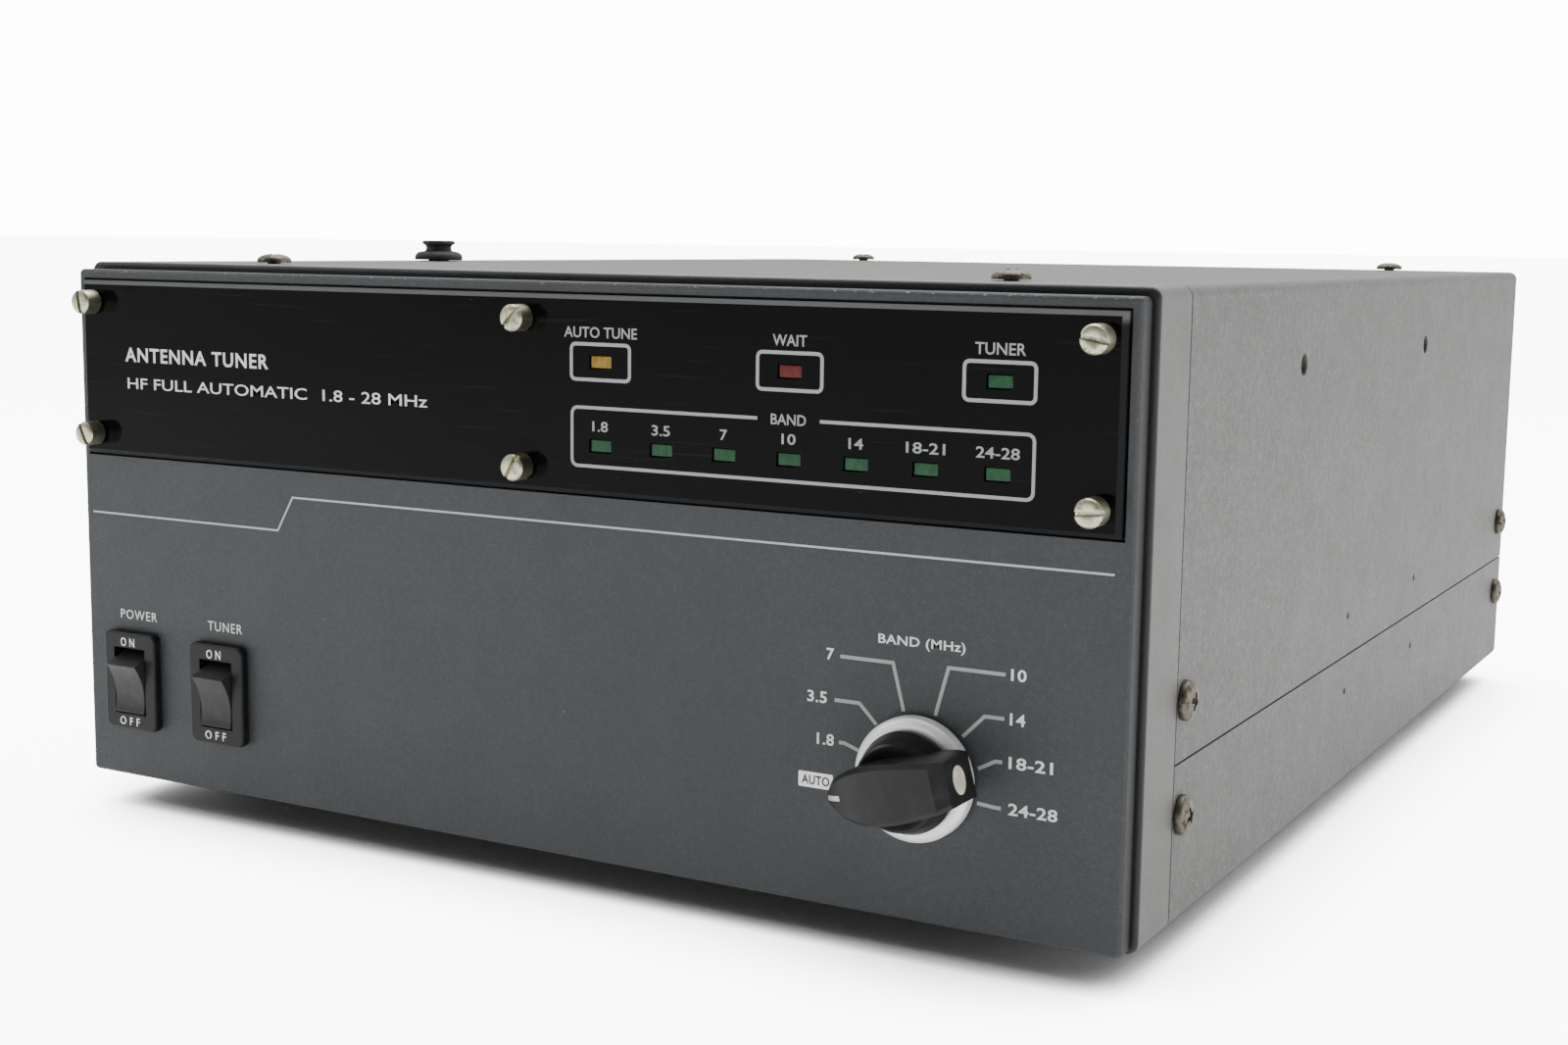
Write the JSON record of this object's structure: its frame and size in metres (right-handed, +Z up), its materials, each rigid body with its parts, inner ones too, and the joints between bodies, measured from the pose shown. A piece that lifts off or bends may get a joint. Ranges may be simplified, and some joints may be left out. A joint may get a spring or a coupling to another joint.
{
  "type": "antenna tuner",
  "caption": "Free-standing automatic antenna tuner in a flat metal case, with a dark window of band indicators, two rocker switches, a pointer band selector and coaxial sockets behind.",
  "frame": {"origin": "on the standing surface, under the middle of the object's whole box", "axes": "+Z up, -Y out of the front panel, +X to the right as seen from the front"},
  "size_m": [0.245, 0.35, 0.1237],
  "materials": {
    "charcoal_paint": "fine textured matte charcoal paint",
    "case_paint": "coarse textured dark grey paint",
    "window_acrylic": "polished black smoked acrylic",
    "switch_plastic": "satin black moulding",
    "knob_plastic": "satin black moulding",
    "spun_aluminium": "spun",
    "panel_aluminium": "satin sheet",
    "plated_steel": "zinc plated",
    "connector_nickel": "nickel plated",
    "brass": "turned",
    "rubber": "black rubber",
    "circuit_board": "glass epoxy board",
    "indicator_lens": "tinted lenses",
    "coil_former": "ceramic former with tinned wire",
    "window_screw_nickel": "aged nickel plating",
    "case_screw_metal": "aged nickel plating"
  },
  "bodies": {
    "case": {"accessory_socket": "switch_plastic", "band_light_block": "indicator_lens", "bottom_cover": "case_paint", "chassis": "plated_steel", "coax_socket_antenna": "connector_nickel", "coax_socket_input": "connector_nickel", "control_board": "circuit_board", "display_board": "circuit_board", "foot_1": "rubber", "foot_2": "rubber", "foot_3": "rubber", "foot_4": "rubber", "front_bezel": "charcoal_paint", "front_plate": "charcoal_paint", "front_subpanel": "plated_steel", "fuse_holder": "switch_plastic", "ground_post": "brass", "load_capacitor_stator": "panel_aluminium", "load_motor": "plated_steel", "mains_inlet": "switch_plastic", "power_switch_body": "switch_plastic", "power_transformer": "plated_steel", "rear_panel": "panel_aluminium", "selector_switch": "switch_plastic", "side_screw_1": "case_screw_metal", "side_screw_2": "case_screw_metal", "side_screw_3": "case_screw_metal", "side_screw_4": "case_screw_metal", "side_screw_5": "case_screw_metal", "side_screw_6": "case_screw_metal", "side_screw_7": "case_screw_metal", "side_screw_8": "case_screw_metal", "status_light_block": "indicator_lens", "tank_coil": "coil_former", "top_cover": "case_paint", "top_plug": "rubber", "top_screw_1": "case_screw_metal", "top_screw_2": "case_screw_metal", "top_screw_3": "case_screw_metal", "top_screw_4": "case_screw_metal", "tune_capacitor_stator": "panel_aluminium", "tune_motor": "plated_steel", "tuner_switch_body": "switch_plastic", "window_panel": "window_acrylic", "window_screw_1": "window_screw_nickel", "window_screw_2": "window_screw_nickel", "window_screw_3": "window_screw_nickel", "window_screw_4": "window_screw_nickel", "window_screw_5": "window_screw_nickel", "window_screw_6": "window_screw_nickel"},
    "power_rocker": {"power_rocker": "switch_plastic"},
    "tuner_rocker": {"tuner_rocker": "switch_plastic"},
    "selector": {"band_knob": "knob_plastic", "knob_skirt": "spun_aluminium", "selector_shaft": "plated_steel"},
    "tune_rotor": {"tune_capacitor_rotor": "brass"},
    "tune_pinion": {"tune_pinion": "brass"},
    "load_rotor": {"load_capacitor_rotor": "brass"},
    "load_pinion": {"load_pinion": "brass"},
    "fuse_cap": {"fuse_cap": "switch_plastic"}
  },
  "joints": [
    {"name": "power_rocker_tilt", "type": "hinge", "parent": "case", "child": "power_rocker", "pos_m": [-0.1052, -0.1552, 0.0291], "axis": [-1, 0, 0], "range_deg": [0, 24]},
    {"name": "tuner_rocker_tilt", "type": "hinge", "parent": "case", "child": "tuner_rocker", "pos_m": [-0.0803, -0.1552, 0.0291], "axis": [-1, 0, 0], "range_deg": [0, 24]},
    {"name": "band_knob_turn", "type": "hinge", "parent": "case", "child": "selector", "pos_m": [0.0815, -0.1586, 0.0336], "axis": [0, 1, 0], "range_deg": [0, 210]},
    {"name": "tune_rotor_turn", "type": "hinge", "parent": "case", "child": "tune_rotor", "pos_m": [0.062, -0.0486, 0.06], "axis": [0, 1, 0], "range_deg": [0, 180]},
    {"name": "tune_pinion_turn", "type": "hinge", "parent": "case", "child": "tune_pinion", "pos_m": [0.062, -0.0556, 0.03585], "axis": [0, 1, 0], "range_deg": [-540, 0]},
    {"name": "load_rotor_turn", "type": "hinge", "parent": "case", "child": "load_rotor", "pos_m": [-0.03, -0.0486, 0.06], "axis": [0, 1, 0], "range_deg": [0, 180]},
    {"name": "load_pinion_turn", "type": "hinge", "parent": "case", "child": "load_pinion", "pos_m": [-0.03, -0.0556, 0.03585], "axis": [0, 1, 0], "range_deg": [-540, 0]},
    {"name": "fuse_cap_turn", "type": "hinge", "parent": "case", "child": "fuse_cap", "pos_m": [-0.048, 0.1514, 0.042], "axis": [0, 1, 0], "range_deg": [0, 60]}
  ],
  "couplings": [
    {"joint": "tune_pinion_turn", "follows": "tune_rotor_turn", "ratio": -3},
    {"joint": "load_pinion_turn", "follows": "load_rotor_turn", "ratio": -3}
  ]
}
